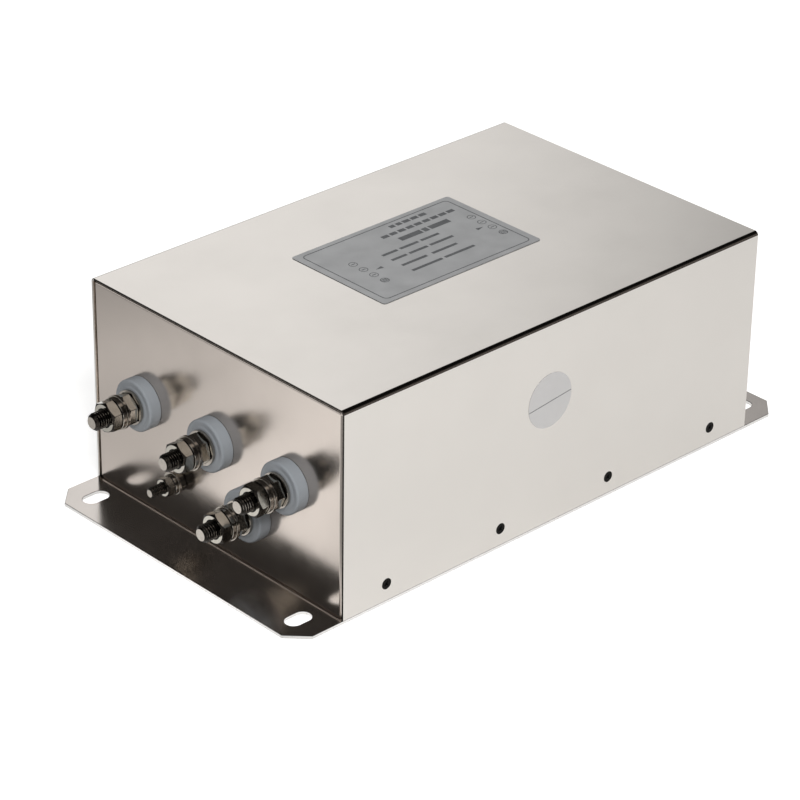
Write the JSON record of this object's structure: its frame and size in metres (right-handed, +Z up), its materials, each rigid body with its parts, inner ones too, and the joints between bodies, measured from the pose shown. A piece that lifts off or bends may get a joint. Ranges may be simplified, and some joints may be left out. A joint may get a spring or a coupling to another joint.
{
  "type": "mains interference filter",
  "caption": "Three-phase four-wire interference filter in a folded metal housing with insulated stud terminals and slotted mounting ears.",
  "frame": {"origin": "middle of the footprint, on the underside of the base plate", "axes": "+X from the line end to the load end along the box, +Y to the left seen from the line end, +Z up out of the mounting surface"},
  "size_m": [0.307, 0.1622, 0.1008],
  "materials": {
    "base_sheet": "bright nickel-plated sheet",
    "cover_sheet": "bright nickel-plated sheet, fine satin",
    "panel_sheet": "bright nickel-plated sheet",
    "rail_sheet": "zinc-plated sheet",
    "black_screw": "black oxide",
    "grey_insulator": "moulded, satin",
    "plated_stud": "bright nickel",
    "plated_nut": "bright nickel",
    "plated_washer": "bright nickel",
    "nameplate_foil": "matt printed foil",
    "sticker_foil": "satin foil",
    "copper_strap": "enamelled copper",
    "core_ribbon": "wound metal ribbon",
    "case_plastic": "moulded",
    "cradle_plastic": "pressed laminate",
    "x_capacitor_box": "moulded box",
    "y_capacitor_box": "dipped",
    "resistor_coat": "lacquered",
    "board_laminate": "solder mask",
    "spacer_nylon": "nylon"
  },
  "bodies": {
    "root": {"base_plate": "base_sheet", "cover": "cover_sheet", "line_panel": "panel_sheet", "load_panel": "panel_sheet", "side_rail_left": "rail_sheet", "side_rail_right": "rail_sheet", "cover_screws_left": "black_screw", "cover_screws_right": "black_screw", "line_bushing_l1": "grey_insulator", "line_bushing_l2": "grey_insulator", "line_bushing_l3": "grey_insulator", "line_bushing_n": "grey_insulator", "load_bushing_l1": "grey_insulator", "load_bushing_l2": "grey_insulator", "load_bushing_l3": "grey_insulator", "load_bushing_n": "grey_insulator", "line_stud_l1": "plated_stud", "line_stud_l2": "plated_stud", "line_stud_l3": "plated_stud", "line_stud_n": "plated_stud", "load_stud_l1": "plated_stud", "load_stud_l2": "plated_stud", "load_stud_l3": "plated_stud", "load_stud_n": "plated_stud", "line_seat_washers": "plated_washer", "line_clamp_nuts": "plated_nut", "line_flat_washers": "plated_washer", "line_spring_washers": "plated_washer", "line_terminal_nuts": "plated_nut", "load_seat_washers": "plated_washer", "load_clamp_nuts": "plated_nut", "load_flat_washers": "plated_washer", "load_spring_washers": "plated_washer", "load_terminal_nuts": "plated_nut", "line_inner_bushings": "grey_insulator", "load_inner_bushings": "grey_insulator", "line_back_nuts": "plated_nut", "load_back_nuts": "plated_nut", "earth_stud": "plated_stud", "earth_nuts": "plated_nut", "earth_washer": "plated_washer", "earth_spring_washer": "plated_washer", "nameplate": "nameplate_foil", "inspection_sticker": "sticker_foil", "winding_l1": "copper_strap", "winding_l2": "copper_strap", "winding_l3": "copper_strap", "winding_n": "copper_strap", "choke_core": "core_ribbon", "choke_case": "case_plastic", "choke_lid": "case_plastic", "choke_cradle": "cradle_plastic", "line_x_capacitors": "x_capacitor_box", "load_x_capacitors": "x_capacitor_box", "y_capacitors": "y_capacitor_box", "bleed_resistors": "resistor_coat", "line_board": "board_laminate", "load_board": "board_laminate", "board_spacers": "spacer_nylon"}
  },
  "joints": []
}
